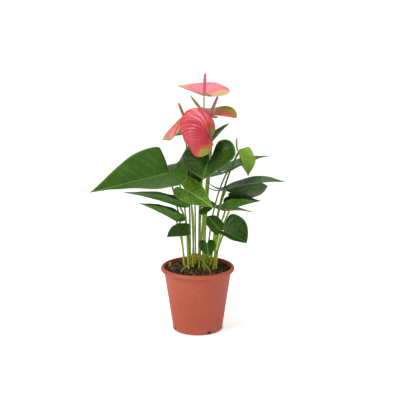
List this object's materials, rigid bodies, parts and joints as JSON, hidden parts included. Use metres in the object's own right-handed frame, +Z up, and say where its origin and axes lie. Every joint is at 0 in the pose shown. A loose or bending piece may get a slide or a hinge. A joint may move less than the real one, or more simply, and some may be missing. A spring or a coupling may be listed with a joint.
{
  "type": "potted anthurium",
  "caption": "Potted flamingo flower: heart-shaped green leaves and pink spathes with slim spadices on tall stalks, in a tapered terracotta-coloured plastic nursery pot.",
  "frame": {"origin": "centre of the pot's flat underside", "axes": "+Z up the pot's axis, -Y towards the viewer, +X to the viewer's right"},
  "size_m": [0.3078, 0.2047, 0.4158],
  "materials": {
    "pot_plastic": "moulded polypropylene with a soft satin sheen",
    "soil": "dark moist peat mix with pale fibres",
    "leaf": "glossy leathery green with paler veins",
    "leaf_young": "glossy yellow-green young leaf",
    "stalk": "smooth satin pale green",
    "spathe": "waxy glossy pink with green edges",
    "spadix": "fine-grained matt red",
    "withered": "dry straw yellow"
  },
  "bodies": {
    "root": {"leaf_left_large_blade": "leaf", "leaf_left_large_petiole": "stalk", "leaf_left_middle_blade": "leaf", "leaf_left_middle_petiole": "stalk", "leaf_left_lower_blade": "leaf", "leaf_left_lower_petiole": "stalk", "leaf_centre_back_blade": "leaf", "leaf_centre_back_petiole": "stalk", "leaf_centre_pale_blade": "leaf_young", "leaf_centre_pale_petiole": "stalk", "leaf_centre_small_blade": "leaf", "leaf_centre_small_petiole": "stalk", "leaf_centre_low_blade": "leaf", "leaf_centre_low_petiole": "stalk", "leaf_front_top_blade": "leaf", "leaf_front_top_petiole": "stalk", "leaf_back_top_blade": "leaf", "leaf_back_top_petiole": "stalk", "leaf_young_blade": "leaf_young", "leaf_young_petiole": "stalk", "leaf_back_right_blade": "leaf", "leaf_back_right_petiole": "stalk", "leaf_right_large_blade": "leaf", "leaf_right_large_petiole": "stalk", "leaf_right_middle_blade": "leaf", "leaf_right_middle_petiole": "stalk", "leaf_right_cupped_blade": "leaf", "leaf_right_cupped_petiole": "stalk", "leaf_right_lower_blade": "leaf", "leaf_right_lower_petiole": "stalk", "leaf_left_front_blade": "leaf", "leaf_left_front_petiole": "stalk", "leaf_front_small_blade": "leaf", "leaf_front_small_petiole": "stalk", "leaf_back_left_blade": "leaf", "leaf_back_left_petiole": "stalk", "leaf_back_centre_blade": "leaf", "leaf_back_centre_petiole": "stalk", "leaf_back_low_blade": "leaf", "leaf_back_low_petiole": "stalk", "leaf_back_upper_blade": "leaf_young", "leaf_back_upper_petiole": "stalk", "leaf_withered_blade": "withered", "leaf_withered_petiole": "withered", "flower_top_spathe": "spathe", "flower_top_peduncle": "stalk", "flower_top_spadix": "spadix", "flower_front_spathe": "spathe", "flower_front_peduncle": "stalk", "flower_front_spadix": "spadix", "flower_left_spathe": "spathe", "flower_left_peduncle": "stalk", "flower_left_spadix": "spadix", "flower_right_spathe": "spathe", "flower_right_peduncle": "stalk", "flower_right_spadix": "spadix", "withered_stalk": "withered", "sprout": "stalk", "soil": "soil", "pot": "pot_plastic"}
  },
  "joints": []
}
